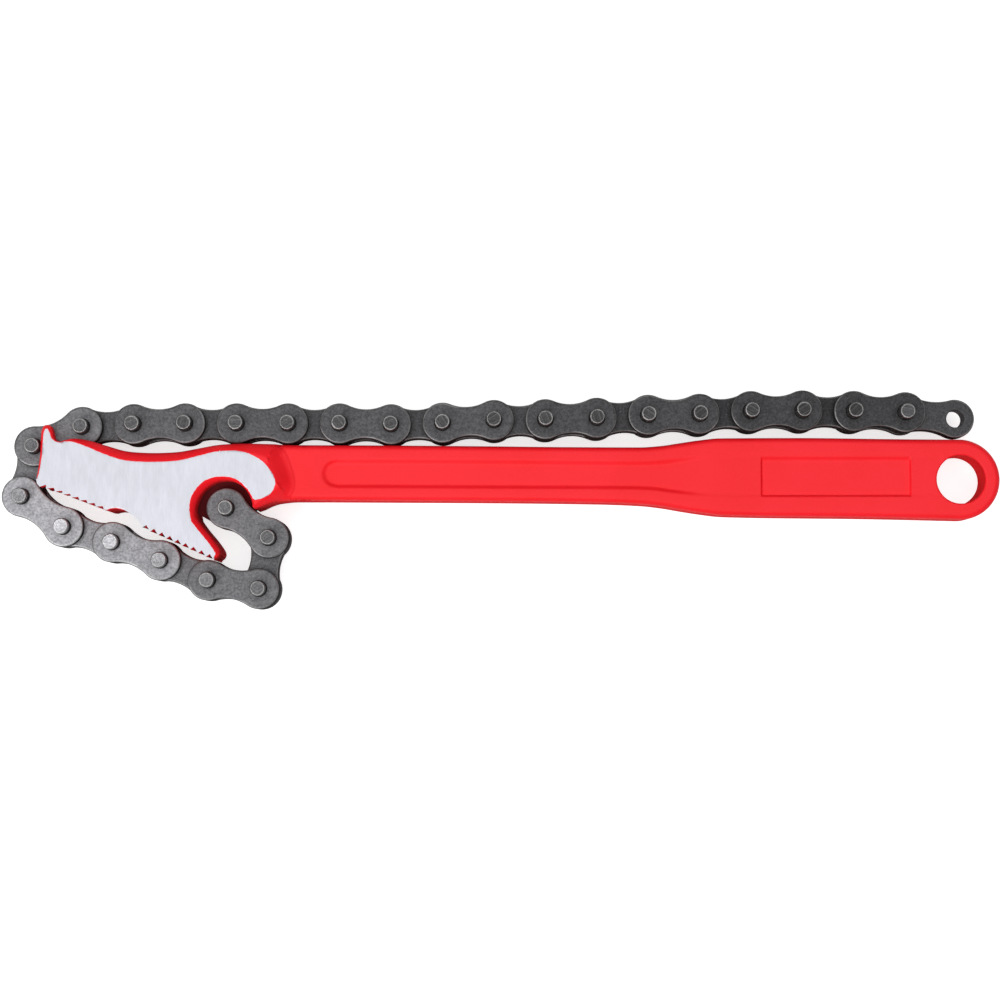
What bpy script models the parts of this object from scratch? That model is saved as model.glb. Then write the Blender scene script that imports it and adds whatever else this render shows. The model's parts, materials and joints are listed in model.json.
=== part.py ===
"""Chain pipe wrench: a forged handle with a toothed, forked jaw, and a leaf chain of twenty-six links.

The tool lies flat on the ground face of its jaw and on the ends of its pins. +X runs along the handle to
the hang hole, +Y to the side where the loose chain lies, +Z up. Sizes are in millimetres, and loft makes
them metres.
"""

import math

import bmesh
import bpy
import numpy as np

MM = 0.001

# Chain
PITCH = 15.875  # five eighths of an inch, pin to pin
LINK_COUNT = 26
PLATE_END_RADIUS = 6.2
PLATE_WAIST_HALF = 4.5
PLATE_THICKNESS = 2.6
PLATE_GAP = 0.3  # air between two plates, and between a plate and the tongue
PIN_RADIUS = 2.4
RIVET_CLEARANCE = 0.16  # a cover plate's hole round its riveted pin
RUNNING_CLEARANCE = 0.22  # an inner plate's hole, which turns on the pin
FREE_HOLE_RADIUS = 2.68  # the empty hole in the last link
PIN_CHAMFER = 0.45
PLATE_CHAMFER = 0.5

# Heading of each link from its first pin to its second, in degrees, as the chain lies at rest
HEADINGS = (
    -35.0, -100.4, 170.5, 157.4, 159.4, 162.6, 144.0, 76.8, 22.3, 3.1, 0.8, 0.0, 0.0,
    0.0, -0.9, 1.7, 3.0, 0.9, 1.6, 3.3, 1.1, 3.1, 0.7, -0.6, -1.4, -6.4,
)
ANCHOR = (-84.1, -2.5)  # centre of the anchor pin, and of the round hook that it sits in

# Thicknesses, all about the middle plane of the tool
HEAD_THICKNESS = 20.0
NECK_THICKNESS = 12.0
CHEEK_THICKNESS = 4.0  # either side of the slot that the chain runs in
TONGUE_THICKNESS = 2 * PLATE_THICKNESS + PLATE_GAP
MIDDLE = HEAD_THICKNESS / 2

# Jaw
HOOK_RADIUS = 8.4
HOOK_FIRST, HOOK_LAST = 186, 21  # degrees at which the round hook meets the finger and the heel
HOOK_ROUND_UP_TO = 120  # degrees from which the hook widens towards the finger
HOOK_WIDENING = 0.9  # how much wider it is at the finger
HOOK_LIP = (10, 2)  # degrees between which the hook's edge tapers off towards the heel
TOOTH_PITCH = 2.67
TOOTH_DEPTH = 1.2
FRONT_TEETH = 8
REAR_TEETH = 9
FRONT_ROW_START = (-140.2, 4.85)
FRONT_ROW_HEADING = -20.5
FRONT_CREST = 0.5  # how far behind its notch a crest stands, as a share of the pitch
REAR_ROW_START = (-109.2, -7.4)
REAR_ROW_HEADING = -24.3
REAR_CREST = 0.72
TONGUE_EYE_RADIUS = 5.9
TONGUE_REACH = 10.6  # outer radius of the tongue, well inside the hook's wall
TONGUE_FIRST, TONGUE_LAST = 8, 197  # degrees between which it grows out of that wall

# Handle
HANG_HOLE = (141.85, 6.4)
HANG_HOLE_RADIUS = 7.35
HANG_RIM = 0.6  # how far the hole's rounded mouth spreads
END_CENTRE = (141.6, 6.4)
END_RADIUS = 12.4
HANDLE_EDGE = 1.9
CHANNEL_DEPTH = 0.8
PANEL_DEPTH = 0.55
PANEL_START = 60.0  # where the channel has widened into the grip's shallower panel
DRAFT = 0.7  # how far a forged recess widens from floor to face
LABEL_FIELD = (80.5, 126.3, 1.0, 12.2)  # low x, high x, low y, high y of the bare sunk field
LABEL_DEPTH = 0.35

# How finely round shapes are divided
ROUND_SIDES = 10  # each pin and pin hole
EYE_SIDES = 16
HANG_HOLE_SIDES = 26
HOOK_STEPS = 12
END_STEPS = 14
CHANNEL_END_STEPS = 8
PLATE_END_STEPS = 8
PLATE_WAIST_STEPS = 3
EDGE_STEPS = 2  # across a rounded edge
CURVE_STEPS = 2  # between two points of a drawn outline

PAST = 0.5  # how far a cutter runs out beyond the face that it enters

# Centre of the whole tool's box in the plan, which the finished part has at its origin
PLAN_CENTRE = (0.363, 0.267)


def polar(centre, radius, degrees):
    angle = math.radians(degrees)
    return centre[0] + radius * math.cos(angle), centre[1] + radius * math.sin(angle)


def arc(centre, radius, first, last, steps):
    """Points on a circle from one angle to another, in degrees."""
    return [polar(centre, radius, first + (last - first) * k / steps) for k in range(steps + 1)]


def curve_through(points):
    """A Catmull-Rom curve through rows of numbers."""
    rows = np.array(points, float)
    ends = np.vstack([2 * rows[0] - rows[1], rows, 2 * rows[-1] - rows[-2]])
    t = np.linspace(0, 1, CURVE_STEPS, endpoint=False)[:, None]
    spans = []
    for a, b, c, d in zip(ends[:-3], ends[1:-2], ends[2:-1], ends[3:]):
        spans.append(b + 0.5 * t * (c - a + t * (2 * a - 5 * b + 4 * c - d + t * (3 * (b - c) + d - a))))
    return [tuple(row) for row in np.vstack(spans + [rows[-1:]])]


def edged(points, width, depth):
    """Plan points that share one edge rounding: its width in the plan and its depth down the side."""
    return [(x, y, width, depth) for x, y in points]


def inward(points):
    """Unit normals into the solid at each point of a counter-clockwise outline."""
    xy = np.array(points)[:, :2]
    along = np.roll(xy, -1, axis=0) - xy
    along /= np.linalg.norm(along, axis=1)[:, None]
    both = along + np.roll(along, 1, axis=0)
    both /= np.maximum(np.linalg.norm(both, axis=1), 1e-9)[:, None]
    return np.column_stack([-both[:, 1], both[:, 0]])


def loft(name, rings, holes=()):
    """A closed mesh from rings of equal length, lowest first; holes are rings cut through both caps."""
    bm = bmesh.new()
    loops = [[bm.verts.new([v * MM for v in point]) for point in ring] for ring in rings]
    for low, high in zip(loops, loops[1:]):
        for k, vert in enumerate(low):
            after = (k + 1) % len(low)
            bm.faces.new((vert, low[after], high[after], high[k]))
    walls = []
    for hole in holes:
        low = [bm.verts.new((x * MM, y * MM, rings[0][0][2] * MM)) for x, y in hole]
        high = [bm.verts.new((x * MM, y * MM, rings[-1][0][2] * MM)) for x, y in hole]
        for k, vert in enumerate(low):
            after = (k + 1) % len(low)
            bm.faces.new((vert, high[k], high[after], low[after]))
        walls.append((low, high))
    for end, loop in ((0, loops[0]), (1, loops[-1])):
        if walls:
            border = [bm.edges.get((loop[k], loop[k - 1])) for k in range(len(loop))]
            for pair in walls:
                ring = pair[end]
                border += [bm.edges.get((ring[k], ring[k - 1])) for k in range(len(ring))]
            bmesh.ops.triangle_fill(bm, use_beauty=True, use_dissolve=False, edges=border)
        else:
            bm.faces.new(loop if end else loop[::-1])
    bmesh.ops.remove_doubles(bm, verts=bm.verts, dist=1e-7)
    bmesh.ops.recalc_face_normals(bm, faces=bm.faces)
    mesh = bpy.data.meshes.new(name)
    bm.to_mesh(mesh)
    bm.free()
    return mesh


def rounded_slab(name, outline, low, high):
    """A slab whose outline points each carry their own edge rounding, (x, y, width, depth)."""
    rows = np.array(outline)
    into = inward(outline)
    rings = []
    for side, face in ((1, low), (-1, high)):
        angles = [math.pi / 2 * k / EDGE_STEPS for k in range(EDGE_STEPS + 1)]
        for angle in angles if side > 0 else angles[::-1]:
            xy = rows[:, :2] + into * rows[:, 2:3] * (1 - math.sin(angle))
            z = face + side * rows[:, 3] * (1 - math.cos(angle))
            rings.append(np.column_stack([xy, z]).tolist())
    return loft(name, rings)


def prism(name, outline, low, high):
    return loft(name, [[(x, y, low) for x, y in outline], [(x, y, high) for x, y in outline]])


def revolved(name, centre, rows, sides):
    """A solid turned about an upright line, from rows of (radius, height)."""
    return loft(name, [[polar(centre, r, 360 * k / sides) + (z,) for k in range(sides)] for r, z in rows])


def painted(name, colour, roughness, metallic):
    material = bpy.data.materials.new(name)
    material.use_nodes = True
    shader = material.node_tree.nodes["Principled BSDF"]
    shader.inputs["Base Color"].default_value = (*colour, 1)
    shader.inputs["Roughness"].default_value = roughness
    shader.inputs["Metallic"].default_value = metallic
    return material


def add(mesh, material=None, parent=None):
    item = bpy.data.objects.new(mesh.name, mesh)
    bpy.context.collection.objects.link(item)
    if material:
        mesh.materials.append(material)
        mesh.shade_smooth()
        mesh.set_sharp_from_angle(angle=math.radians(35))
    item.parent = parent
    return item


def combine(target, mesh, operation):
    """Adds a Boolean with a helper that stays out of the render."""
    helper = add(mesh, parent=target.parent)
    helper.hide_render = True
    helper.display_type = "WIRE"
    modifier = target.modifiers.new(mesh.name, "BOOLEAN")
    modifier.object = helper
    modifier.operation = operation


def pin_centres():
    """Every pin of the chain in the plan, and last the empty hole at its free end."""
    centres = [ANCHOR]
    for heading in HEADINGS:
        centres.append(polar(centres[-1], PITCH, heading))
    return centres


def teeth(start, heading, count, share):
    """A row of saw teeth: a notch and then a crest, the given share of the pitch behind it."""
    points = []
    for k in range(count):
        root = polar(start, TOOTH_PITCH * (k + 0.5), heading)
        crest = polar(root, TOOTH_PITCH * share, heading)
        points += [root, polar(crest, TOOTH_DEPTH, heading - 90)]
    return points


def jaw_outline():
    """The forged head seen from above, counter-clockwise, each point with the rounding of its edge."""
    top = curve_through(
        [(-69.0, 17.2, 3.2, 4.0), (-78.0, 17.3, 2.5, 3.0), (-86.0, 16.9, 2.3, 2.5), (-92.5, 15.8, 2.3, 2.5),
         (-99.0, 14.7, 2.3, 2.5), (-107.0, 14.4, 2.3, 2.5), (-114.5, 14.9, 2.3, 2.5),
         (-120.5, 16.5, 2.3, 2.5), (-125.9, 18.1, 2.1, 2.3), (-130.5, 18.7, 1.2, 1.4),
         (-133.4, 18.1, 0.4, 0.5)])
    seat = curve_through(
        [(-134.7, 17.6, 0.3, 0.3), (-136.0, 17.9, 0.3, 0.3), (-136.9, 19.2, 0.5, 0.6)])
    nose = curve_through(
        [(-137.6, 21.3, 0.8, 1.0), (-138.4, 22.9, 0.6, 0.9), (-139.7, 22.9, 0.6, 0.9),
         (-140.4, 20.8, 0.7, 1.0), (-140.75, 17.5, 0.6, 0.8)])
    side = edged([(-140.85, 13.5), (-141.3, 9.5)], 0.5, 0.7)
    side += edged([(-141.8, 6.2), (-141.55, 4.8), (-140.65, 3.8)], 0, 0)
    front = edged(teeth(FRONT_ROW_START, FRONT_ROW_HEADING, FRONT_TEETH, FRONT_CREST), 0, 0)
    dimple = edged(curve_through([(-119.4, -3.2), (-117.2, -2.9), (-115.0, -3.3), (-113.2, -4.2),
                                  (-111.2, -5.8), (-109.15, -8.6)]), 0.15, 0.15)
    rear = edged(teeth(REAR_ROW_START, REAR_ROW_HEADING, REAR_TEETH, REAR_CREST), 0, 0)
    finger = curve_through(
        [(-86.95, -18.0, 0.6, 0.8), (-86.0, -17.3, 1.1, 1.4), (-85.6, -16.3, 1.4, 1.8),
         (-86.4, -14.4, 1.5, 2.0), (-90.7, -8.9, 1.5, 2.0), (-92.85, -6.0, 1.5, 2.0)])
    hook = edged(round_hook(), 1.5, 2.0)
    hook += edged(arc(ANCHOR, HOOK_RADIUS, *HOOK_LIP, 1), 0.6, 1.0)
    heel = curve_through(
        [(-75.2, -2.8, 0.6, 1.0), (-73.3, -2.2, 1.0, 1.8), (-71.2, -1.3, 1.9, 3.0), (-68.9, -0.6, 2.6, 4.0)])
    shoulder = curve_through(
        [(-66.6, 0.4, 3.4, 4.0), (-65.4, 3.0, 3.5, 4.0), (-65.2, 6.6, 3.5, 4.0), (-65.8, 11.0, 3.5, 4.0),
         (-66.9, 14.8, 3.5, 4.0)])
    return top + seat + nose + side + front + dimple + rear + finger + hook + heel + shoulder


def round_hook():
    """The hook's wall: round about the anchor pin, and a little wider towards the finger."""
    points = []
    for k in range(HOOK_STEPS + 1):
        degrees = HOOK_FIRST + (HOOK_LAST - HOOK_FIRST) * k / HOOK_STEPS
        share = max(0, (degrees - HOOK_ROUND_UP_TO) / (HOOK_FIRST - HOOK_ROUND_UP_TO))
        points.append(polar(ANCHOR, HOOK_RADIUS + HOOK_WIDENING * share**2, degrees))
    return points


def handle_outline():
    """The neck and grip seen from above; the left end lies inside the head."""
    underside = curve_through(
        [(-79.0, 4.6), (-74.0, 0.6), (-68.6, -0.5), (-62.4, -0.1), (-37.4, -0.2), (0.0, -0.4),
         (31.2, -0.8), (43.7, -1.3), (50.0, -2.0), (56.5, -3.1), (62.4, -4.0), (68.6, -4.7),
         (81.1, -5.0), (110.0, -5.3)])
    end = arc(END_CENTRE, END_RADIUS, -88, 88, END_STEPS)
    top = curve_through(
        [(117.2, 19.0), (92.5, 19.3), (67.9, 19.2), (61.7, 18.6), (55.5, 17.7), (49.3, 16.8), (43.2, 16.4),
         (18.5, 16.5), (0.0, 16.7), (-37.0, 17.0), (-66.0, 17.1), (-79.0, 16.6)])
    return edged(underside + end + top, HANDLE_EDGE, HANDLE_EDGE)


def recess(name, outline, depths, face, side):
    """A forged recess: a floor at a depth given for each outline point, widening by the draft to the face."""
    rows = np.array(outline)
    out = -inward([(x, y) for x, y in outline])
    floor = [(x, y, face - side * d) for (x, y), d in zip(outline, depths)]
    spread = rows + out * DRAFT * (1 + PAST / CHANNEL_DEPTH)
    mouth = [(x, y, face + side * PAST) for x, y in spread]
    return loft(name, [floor, mouth] if side > 0 else [mouth, floor])


def channel_outline():
    """The long recess of one face: narrow in the neck, opening into the grip, and its depth at each point."""
    lower = [(48.0, 4.5), (54.0, 3.6), (60.0, 2.3), (66.0, 1.2), (72.0, 0.8), (136.0, 0.6)]
    upper = [(136.0, 12.2), (72.0, 13.3), (66.0, 13.1), (60.0, 12.6), (54.0, 12.1), (48.0, 11.9)]
    left = arc((-50.6, 8.2), 3.6, 90, 270, CHANNEL_END_STEPS)
    points = left + lower + upper
    depths = [CHANNEL_DEPTH if x < PANEL_START else PANEL_DEPTH for x, _ in points]
    return points, depths


def handle_forging(material, root):
    forging = add(rounded_slab("handle_forging", jaw_outline(), 0, HEAD_THICKNESS), material, root)
    low, high = MIDDLE - NECK_THICKNESS / 2, MIDDLE + NECK_THICKNESS / 2
    combine(forging, rounded_slab("neck_and_grip", handle_outline(), low, high), "UNION")
    combine(forging, chain_slot(), "DIFFERENCE")
    combine(forging, anchor_tongue(), "UNION")
    bore = PIN_RADIUS + RUNNING_CLEARANCE
    through = [(bore, MIDDLE - TONGUE_THICKNESS), (bore, MIDDLE + TONGUE_THICKNESS)]
    combine(forging, revolved("anchor_bore", ANCHOR, through, EYE_SIDES), "DIFFERENCE")
    combine(forging, hang_hole(low, high), "DIFFERENCE")
    outline, depths = channel_outline()
    left, right, near, far = LABEL_FIELD
    field = [(left, near), (right, near), (right, far), (left, far)]
    for word, side, face in (("back", -1, low), ("front", 1, high)):
        combine(forging, recess("channel_" + word, outline, depths, face, side), "DIFFERENCE")
        floor = [PANEL_DEPTH + LABEL_DEPTH] * len(field)
        combine(forging, recess("label_" + word, field, floor, face, side), "DIFFERENCE")


def hang_hole(low, high):
    """The hole that the tool hangs by, with a chamfered mouth on either face."""
    mouth = HANG_HOLE_RADIUS + HANG_RIM + PAST
    rows = [(mouth, low - PAST), (HANG_HOLE_RADIUS, low + HANG_RIM),
            (HANG_HOLE_RADIUS, high - HANG_RIM), (mouth, high + PAST)]
    return revolved("hang_hole", HANG_HOLE, rows, HANG_HOLE_SIDES)


def chain_slot():
    """The gap between the two cheeks, open at the nose and along the top of the head."""
    beyond_nose, beyond_top = -150.0, 30.0
    floor = curve_through(
        [(-104.0, 15.6), (-109.0, 12.2), (-115.0, 10.2), (-121.5, 8.8), (-127.0, 6.8), (-130.8, 3.0),
         (-132.6, -2.0)])
    outside = [(floor[0][0], beyond_top), (beyond_nose, beyond_top), (beyond_nose, floor[-1][1])]
    outline = floor[::-1] + outside
    return prism("chain_slot", outline, CHEEK_THICKNESS, HEAD_THICKNESS - CHEEK_THICKNESS)


def anchor_tongue():
    """The tongue across the hook, whose eye the first link's cover plates straddle."""
    root = arc(ANCHOR, TONGUE_REACH, TONGUE_FIRST, TONGUE_LAST, HOOK_STEPS)
    # The eye's free side is bounded by its tangents from either end of the root.
    spread = math.degrees(math.acos(TONGUE_EYE_RADIUS / TONGUE_REACH))
    eye = arc(ANCHOR, TONGUE_EYE_RADIUS, TONGUE_LAST + spread, TONGUE_FIRST + 360 - spread, EYE_SIDES // 2)
    half = TONGUE_THICKNESS / 2
    return prism("anchor_tongue", root + eye, MIDDLE - half, MIDDLE + half)


def plate_outline():
    """The figure-of-eight plate of one pitch, first pin at the origin: round ends and a drawn-in waist."""
    half = PITCH / 2
    # The waist is an arc that meets both ends smoothly: its radius follows from the three driving sizes.
    rise = PLATE_END_RADIUS - PLATE_WAIST_HALF
    hollow = (half**2 + PLATE_WAIST_HALF**2 - PLATE_END_RADIUS**2) / (2 * rise)
    centre_y = PLATE_WAIST_HALF + hollow
    tangent = math.degrees(math.atan2(centre_y, half))
    right = arc((PITCH, 0), PLATE_END_RADIUS, tangent - 180, 180 - tangent, PLATE_END_STEPS)
    left = arc((0, 0), PLATE_END_RADIUS, tangent, 360 - tangent, PLATE_END_STEPS)
    upper = arc((half, centre_y), hollow, -tangent, tangent - 180, PLATE_WAIST_STEPS)[1:-1]
    lower = arc((half, -centre_y), hollow, 180 - tangent, tangent, PLATE_WAIST_STEPS)[1:-1]
    return right + upper + left + lower


def plate(name, low, high, holes, chamfered):
    """One chain plate about its first pin; chamfered is -1 or 1 for a worn edge below or above, or 0."""
    outline = plate_outline()
    into = inward(outline)
    inner = (np.array(outline) + into * PLATE_CHAMFER).tolist()
    layers = [(outline, low), (outline, high)]
    if chamfered > 0:
        layers[1:] = [(outline, high - PLATE_CHAMFER), (inner, high)]
    if chamfered < 0:
        layers[:1] = [(inner, low), (outline, low + PLATE_CHAMFER)]
    rings = [[(x, y, z) for x, y in ring] for ring, z in layers]
    return loft(name, rings, [arc((x, 0), radius, 0, 360, ROUND_SIDES)[:-1] for x, radius in holes])


def pin(name, x, low, high):
    tip = PIN_RADIUS - PIN_CHAMFER
    rows = [(tip, low), (PIN_RADIUS, low + PIN_CHAMFER), (PIN_RADIUS, high - PIN_CHAMFER), (tip, high)]
    return revolved(name, (x, 0), rows, ROUND_SIDES)


def link(index, centres, material, root):
    """Makes the two sides of one link, on an empty at its first pin; even links carry the pins."""
    hinge = bpy.data.objects.new(f"pin_axis_{index + 1:02d}", None)
    bpy.context.collection.objects.link(hinge)
    hinge.parent = root
    hinge.location = (centres[index][0] * MM, centres[index][1] * MM, 0)
    hinge.rotation_euler = (0, 0, math.radians(HEADINGS[index]))
    label = f"link_{index + 1:02d}"
    if index % 2:
        gap = PLATE_GAP / 2
        running = PIN_RADIUS + RUNNING_CLEARANCE
        last = index == LINK_COUNT - 1
        holes = [(0, running), (PITCH, FREE_HOLE_RADIUS if last else running)]
        front = plate(label + "_inner_front", MIDDLE + gap, MIDDLE + gap + PLATE_THICKNESS, holes, 0)
        back = plate(label + "_inner_back", MIDDLE - gap - PLATE_THICKNESS, MIDDLE - gap, holes, 0)
        add(front, material, hinge)
        add(back, material, hinge)
        return
    gap = 1.5 * PLATE_GAP + PLATE_THICKNESS
    riveted = PIN_RADIUS + RIVET_CLEARANCE
    front = plate(label + "_cover_front", MIDDLE + gap, MIDDLE + gap + PLATE_THICKNESS,
                  [(0, riveted), (PITCH, riveted)], 1)
    back = plate(label + "_cover_back", MIDDLE - gap - PLATE_THICKNESS, MIDDLE - gap, [], -1)
    add(front, material, hinge)
    carrier = add(back, material, hinge)
    for word, x in (("first", 0), ("second", PITCH)):
        combine(carrier, pin(f"{label}_pin_{word}", x, 0, HEAD_THICKNESS), "UNION")


def main():
    for item in list(bpy.data.objects):
        bpy.data.objects.remove(item, do_unlink=True)
    enamel = painted("red_enamel", colour=(0.80, 0.02, 0.03), roughness=0.35, metallic=0.0)
    blackened = painted("blackened_steel", colour=(0.10, 0.10, 0.11), roughness=0.45, metallic=0.8)
    root = bpy.data.objects.new("wrench", None)
    bpy.context.collection.objects.link(root)
    root.location = (-PLAN_CENTRE[0] * MM, -PLAN_CENTRE[1] * MM, 0)
    handle_forging(enamel, root)
    centres = pin_centres()
    for index in range(LINK_COUNT):
        link(index, centres, blackened, root)


main()
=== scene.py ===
"""Chain pipe wrench: the visible surfaces of the forged handle and the leaf chain, their finishes, and a stage.

Sizes are in millimetres, in the plan of the tool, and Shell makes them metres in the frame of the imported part.
"""

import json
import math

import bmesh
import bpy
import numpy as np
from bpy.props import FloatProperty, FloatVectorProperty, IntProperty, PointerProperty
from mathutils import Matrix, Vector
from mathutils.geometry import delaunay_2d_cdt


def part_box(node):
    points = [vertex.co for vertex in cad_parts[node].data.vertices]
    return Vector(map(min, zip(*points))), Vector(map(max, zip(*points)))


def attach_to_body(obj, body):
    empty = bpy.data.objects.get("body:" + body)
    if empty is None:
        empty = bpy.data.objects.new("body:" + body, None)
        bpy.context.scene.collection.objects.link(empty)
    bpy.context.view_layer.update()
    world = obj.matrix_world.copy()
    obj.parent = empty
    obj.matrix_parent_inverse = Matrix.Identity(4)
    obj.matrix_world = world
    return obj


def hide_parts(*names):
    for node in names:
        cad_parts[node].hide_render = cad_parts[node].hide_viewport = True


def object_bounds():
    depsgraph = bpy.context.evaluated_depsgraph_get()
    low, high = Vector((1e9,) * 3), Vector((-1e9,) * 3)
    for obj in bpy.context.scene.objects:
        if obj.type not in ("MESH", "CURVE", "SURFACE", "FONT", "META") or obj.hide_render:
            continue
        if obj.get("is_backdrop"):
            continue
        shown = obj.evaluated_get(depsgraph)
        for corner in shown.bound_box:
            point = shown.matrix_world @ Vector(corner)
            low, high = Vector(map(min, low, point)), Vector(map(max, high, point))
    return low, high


bl_info = {
    "name": "Chain pipe wrench",
    "version": (1, 0, 0),
    "blender": (4, 5, 0),
    "location": "3D View > Sidebar > Wrench",
    "description": "Forged handle, leaf chain, finishes and studio stage of a chain pipe wrench",
    "category": "Add Mesh",
}

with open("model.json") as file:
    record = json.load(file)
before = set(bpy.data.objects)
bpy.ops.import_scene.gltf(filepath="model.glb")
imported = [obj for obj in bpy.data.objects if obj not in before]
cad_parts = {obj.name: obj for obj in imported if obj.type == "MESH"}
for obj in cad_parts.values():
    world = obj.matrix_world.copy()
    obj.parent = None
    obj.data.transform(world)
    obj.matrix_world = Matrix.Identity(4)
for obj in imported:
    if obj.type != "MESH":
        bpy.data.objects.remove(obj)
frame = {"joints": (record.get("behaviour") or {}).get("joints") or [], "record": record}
CAD_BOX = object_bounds()

MM = 0.001
PLAN_CENTRE = np.array([0.363, 0.267])  # the plan point that lies at the frame's origin
ANCHOR = np.array([-84.1, -2.5])
HEAD_TOP = 20.0  # the back of the head lies at 0
NECK_TOP = 16.0
MIDDLE = 10.0
CHEEK_INNER = 16.0  # height of the front cheek's inner face
FALL = 3.0  # how steeply the head's surface is taken to drop outside its own outline
FILLET = 1.3  # blend between the head and the neck
SHARP = 0.05  # an edge of the jaw narrower than this is ground and not rounded
SHOULDER_DEPTH = 4.0  # a rounding this deep is the shoulder's, which runs out level

# Values of the attribute "bare": on ground, on enamel walls (painted darker as shade), on the tongue in the hook
# (painted nearly black as deep shade), and at least on any face
BARE_STEEL, PAINTED, TONGUE_SHADE, PAINTED_FACE = 0.5, -20.0, -60.0, -1.5
PROBED_AT_ONCE = 2000  # points, to bound the memory that probe() takes


def length(name, description, default):
    return FloatProperty(name=name, description=f"{description} in mm", default=default)


def colour(name, description, default):
    return FloatVectorProperty(name=name, description=description, subtype="COLOR", size=3, default=default)


class WrenchForging(bpy.types.PropertyGroup):
    """Sizes of the forged handle that the finish of its surface depends on."""

    hang_radius: length("Hang hole radius", "Radius of the hole", 7.45)
    hang_rim: length("Hang hole rim", "Width of its rounded mouth", 0.55)
    edge: length("Handle edge", "Radius of the neck's and grip's edges", 1.9)
    channel_depth: length("Channel", "Depth of the neck's channel", 0.8)
    panel_depth: length("Panel", "Depth of the grip's panel", 0.15)
    label_depth: length("Label field", "Depth of the bare field", 0.7)
    lattice: length("Net", "Spacing of the surface's net", 0.7)


class WrenchChain(bpy.types.PropertyGroup):
    """Sizes of the leaf chain's plates and pins."""

    end_radius: length("Plate end", "Radius of a plate's round ends", 6.25)
    free_end: length("Last link's end", "The same of the last link", 6.0)
    waist_half: length("Plate waist", "Half of a plate's waist", 4.5)
    thickness: length("Plate thickness", "Thickness of a plate", 2.6)
    gap: length("Plate gap", "Air between two plates", 0.3)
    face_round: length("Face edge", "Rounding of a plate's outward edge", 0.65)
    back_round: length("Back edge", "Rounding of its other edge", 0.35)
    pin_radius: length("Pin radius", "Radius of a pin", 2.4)
    riveted_hole: length("Riveted hole", "Radius of a cover plate's hole", 2.43)
    running_hole: length("Running hole", "Radius of an inner plate's hole", 2.62)
    free_hole: length("Free hole", "Radius of the empty end hole", 2.68)
    spans: IntProperty(name="Outline spans", description="Spans round half a plate's end", default=20, min=8)


class WrenchFinishes(bpy.types.PropertyGroup):
    """Colours of the three finishes, and of the wear on the chain, which on the plates' edges is also painted
    highlight.
    """

    enamel: colour("Enamel", "Red stove enamel", (0.96, 0.010, 0.021))
    # its deep red, made darker, is also the painted shade on the walls
    enamel_deep_and_shade: colour("Deep enamel", "Enamel where it runs thick", (0.90, 0.006, 0.011))
    ground: colour("Ground steel", "Ground jaw faces", (0.56, 0.565, 0.615))
    oiled: colour("Blackened steel", "Oil-blackened chain plates", (0.142, 0.14, 0.147))
    worn_and_highlight: colour("Worn steel", "Edges rubbed bright", (0.60, 0.59, 0.58))


def arc(centre, radius, first, last, spans):
    """Points of a circle from one angle to another, in degrees."""
    angle = np.radians(np.linspace(first, last, spans + 1))
    return np.column_stack([centre[0] + radius * np.cos(angle), centre[1] + radius * np.sin(angle)])


def curve_through(rows, spans=8):
    """Catmull-Rom: each span is the cubic whose slope at a row is half the chord of that row's neighbours."""
    rows = np.asarray(rows, float)
    rows = np.vstack([2 * rows[0] - rows[1], rows, 2 * rows[-1] - rows[-2]])
    a, b, c, d = (rows[k:len(rows) - 3 + k, None] for k in range(4))
    t = np.linspace(0, 1, spans, endpoint=False)[None, :, None]
    bent = b + 0.5 * t * (c - a + t * (2 * a - 5 * b + 4 * c - d + t * (3 * (b - c) + d - a)))
    return np.vstack([bent.reshape(-1, rows.shape[1]), rows[-2:-1]])


def line_through(rows, spans=8):
    """A line y(x) that never overshoots: cubic spans, with the harmonic mean of two chords' slopes at a row."""
    x, y = np.array(rows, float).T
    run, rise = np.diff(x), np.diff(y)
    before, after = (rise / run)[:-1], (rise / run)[1:]
    level = before * after <= 0
    slope = np.where(level, 0, 2 * before * after / np.where(level, 1, before + after))
    slope = np.concatenate([[rise[0] / run[0]], slope, [rise[-1] / run[-1]]])
    t = np.linspace(0, 1, spans, endpoint=False)
    run, rise = run[:, None], rise[:, None]
    first, last = slope[:-1, None] * run, slope[1:, None] * run
    bent = y[:-1, None] + t * (first + t * (3 * rise - 2 * first - last + t * (first + last - 2 * rise)))
    along = x[:-1, None] + t * run
    return np.column_stack([np.append(along.ravel(), x[-1]), np.append(bent.ravel(), y[-1])])


def raised(loop, height):
    """Plan points with a height, either one for all of them or one for each."""
    return np.column_stack([loop, np.broadcast_to(height, len(loop))])


def edged(points, width, depth):
    """Outline rows (x, y, edge width, edge depth) whose points share one rounding."""
    points = np.asarray(points, float)
    return np.column_stack([points, np.full(len(points), width), np.full(len(points), depth)])


def inward(points):
    """Unit normals into a counter-clockwise outline: the mean of two span directions, turned left."""
    along = np.roll(points, -1, axis=0) - points
    along /= np.maximum(np.linalg.norm(along, axis=1), 1e-9)[:, None]
    both = along + np.roll(along, 1, axis=0)
    both /= np.maximum(np.linalg.norm(both, axis=1), 1e-9)[:, None]
    return np.column_stack([-both[:, 1], both[:, 0]])


def smooth(value, low, high):
    """0 below low, 1 above high, and the cubic with level ends between."""
    t = np.clip((value - low) / (high - low), 0, 1)
    return t * t * (3 - 2 * t)


def round_drop(share):
    """How far a quarter round has dropped, 0 at its inner edge (share 0) and 1 at its outer edge (share 1)."""
    return 1 - np.sqrt(np.maximum(0, 1 - share**2))


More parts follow.
